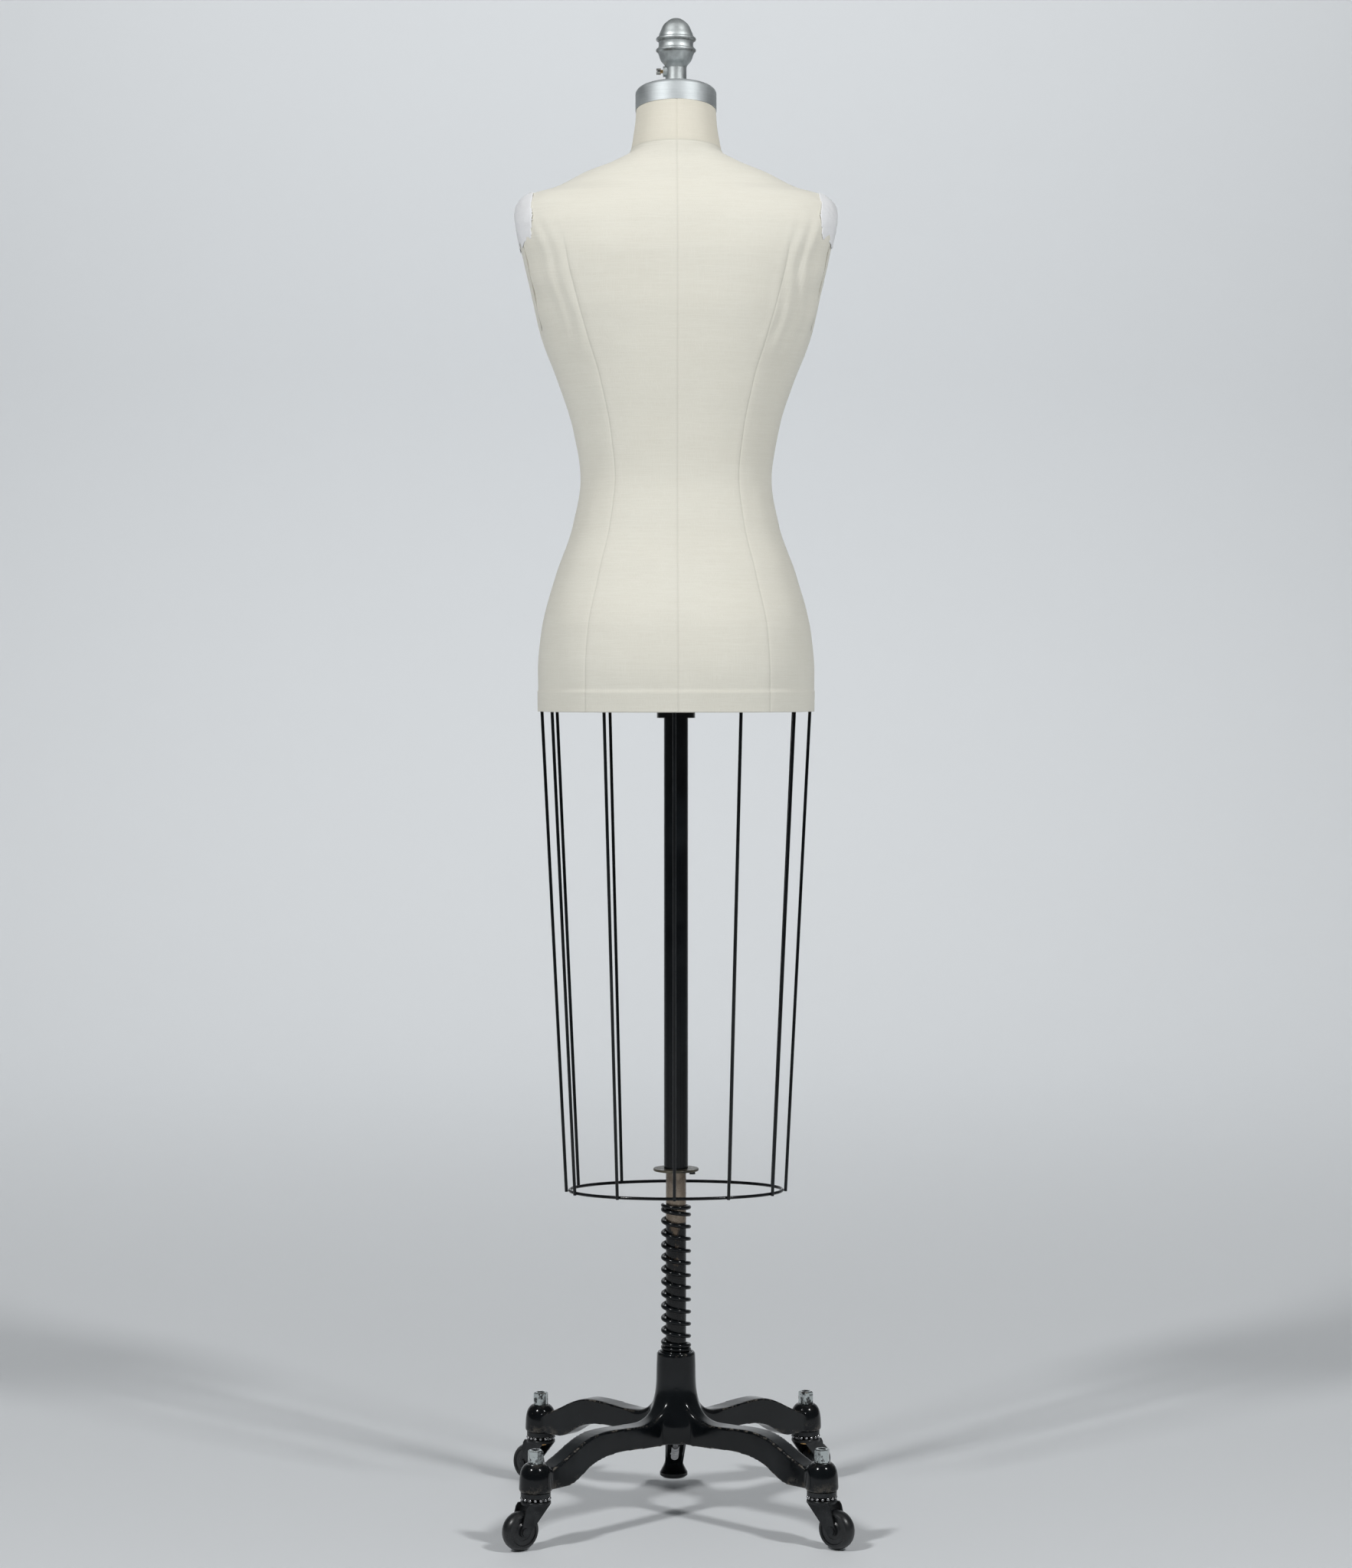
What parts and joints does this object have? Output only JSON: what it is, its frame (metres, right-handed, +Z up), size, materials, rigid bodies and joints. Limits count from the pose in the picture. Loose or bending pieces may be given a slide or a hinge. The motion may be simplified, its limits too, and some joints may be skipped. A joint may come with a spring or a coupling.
{
  "type": "dress form mannequin",
  "caption": "Half-body dress form with linen cover and wire skirt cage, on a height-adjustable pole with a cast four-leg rolling base and foot pedal.",
  "frame": {"origin": "on the floor on the pole's axis, under the middle of the base", "axes": "+Z up along the pole; +Y to the form's front; +X to the form's right arm"},
  "size_m": [0.4252, 0.4192, 1.872],
  "materials": {
    "black_enamel": "gloss black enamel on cast iron, chipped at edges",
    "black_steel": "gloss black enamel on steel",
    "worn_steel": "bare brown steel above a black painted band",
    "brushed_alloy": "lathe-turned brushed aluminium",
    "cast_alloy": "polished cast aluminium",
    "linen": "natural linen, plain weave",
    "white_cloth": "white cotton, frayed edge",
    "papier_mache": "papier-mache shell",
    "ply": "varnished board",
    "dark_chrome": "dark plated steel",
    "stamped_steel": "dark oiled stamped steel",
    "wheel_plastic": "dark hard plastic",
    "screw_brass": "brass shank, plated head",
    "bush_plastic": "acetal bush"
  },
  "bodies": {
    "base": {"base_casting": "black_enamel", "lower_pole": "worn_steel", "buffer_spring": "black_steel", "caster_stems": "dark_chrome", "caster_nuts": "dark_chrome", "caster_bearing_cups": "stamped_steel", "caster_bearing_balls": "dark_chrome", "pedal_pin": "dark_chrome"},
    "pedal": {"foot_pedal": "black_enamel", "pedal_foot_pad": "black_enamel", "pedal_return_spring": "dark_chrome"},
    "mast": {"mast_outer_tube": "black_steel", "mast_bush_lower": "bush_plastic", "mast_bush_upper": "bush_plastic", "mast_collar_disc": "worn_steel", "collar_catch_screw": "black_steel"},
    "form": {"linen_cover": "linen", "torso_shell_front": "papier_mache", "torso_shell_back": "papier_mache", "arm_plate_left": "linen", "arm_plate_right": "linen", "shoulder_patch_left": "white_cloth", "shoulder_patch_right": "white_cloth", "bottom_board": "ply", "flange_socket": "black_enamel", "flange_screws": "dark_chrome", "centre_rod": "worn_steel", "neck_block": "ply", "neck_cap": "brushed_alloy", "finial": "cast_alloy", "cage_ring": "black_steel", "cage_wires": "black_steel"},
    "thumb_screw": {"finial_thumb_screw": "screw_brass"},
    "fork_front_right": {"caster_fork_front_right": "stamped_steel", "caster_axle_front_right": "dark_chrome"},
    "wheel_front_right": {"caster_wheel_front_right": "wheel_plastic"},
    "fork_front_left": {"caster_fork_front_left": "stamped_steel", "caster_axle_front_left": "dark_chrome"},
    "wheel_front_left": {"caster_wheel_front_left": "wheel_plastic"},
    "fork_back_left": {"caster_fork_back_left": "stamped_steel", "caster_axle_back_left": "dark_chrome"},
    "wheel_back_left": {"caster_wheel_back_left": "wheel_plastic"},
    "fork_back_right": {"caster_fork_back_right": "stamped_steel", "caster_axle_back_right": "dark_chrome"},
    "wheel_back_right": {"caster_wheel_back_right": "wheel_plastic"}
  },
  "joints": [
    {"name": "swivel_front_right", "type": "hinge", "parent": "base", "child": "fork_front_right", "pos_m": [0.17324, 0.17324, 0.056], "axis": [0, 0, 1], "continuous": true},
    {"name": "roll_front_right", "type": "hinge", "parent": "fork_front_right", "child": "wheel_front_right", "pos_m": [0.1877, 0.19048, 0.024], "axis": [-0.766, 0.6428, 0], "continuous": true},
    {"name": "swivel_front_left", "type": "hinge", "parent": "base", "child": "fork_front_left", "pos_m": [-0.17324, 0.17324, 0.056], "axis": [0, 0, 1], "continuous": true},
    {"name": "roll_front_left", "type": "hinge", "parent": "fork_front_left", "child": "wheel_front_left", "pos_m": [-0.18915, 0.18915, 0.024], "axis": [-0.7071, -0.7071, 0], "continuous": true},
    {"name": "swivel_back_left", "type": "hinge", "parent": "base", "child": "fork_back_left", "pos_m": [-0.17324, -0.17324, 0.056], "axis": [0, 0, 1], "continuous": true},
    {"name": "roll_back_left", "type": "hinge", "parent": "fork_back_left", "child": "wheel_back_left", "pos_m": [-0.19167, -0.18615, 0.024], "axis": [0.5736, -0.8192, 0], "continuous": true},
    {"name": "swivel_back_right", "type": "hinge", "parent": "base", "child": "fork_back_right", "pos_m": [0.17324, -0.17324, 0.056], "axis": [0, 0, 1], "continuous": true},
    {"name": "roll_back_right", "type": "hinge", "parent": "fork_back_right", "child": "wheel_back_right", "pos_m": [0.19048, -0.1877, 0.024], "axis": [0.6428, 0.766, 0], "continuous": true},
    {"name": "pedal_press", "type": "hinge", "parent": "base", "child": "pedal", "pos_m": [0, 0.022, 0.0863], "axis": [-1, 0, 0], "range_deg": [0, 4.5], "stiffness_Nm_per_rad": 2.5, "springref_deg": -20.05},
    {"name": "mast_slide", "type": "slide", "parent": "base", "child": "mast", "axis": [0, 0, 1], "range_m": [-0.036, 0.2]},
    {"name": "form_turn", "type": "hinge", "parent": "mast", "child": "form", "pos_m": [0, 0, 1.05], "axis": [0, 0, 1], "continuous": true},
    {"name": "thumb_screw_turn", "type": "hinge", "parent": "form", "child": "thumb_screw", "pos_m": [-0.018, 0, 1.806], "axis": [1, 0, 0], "continuous": true}
  ]
}
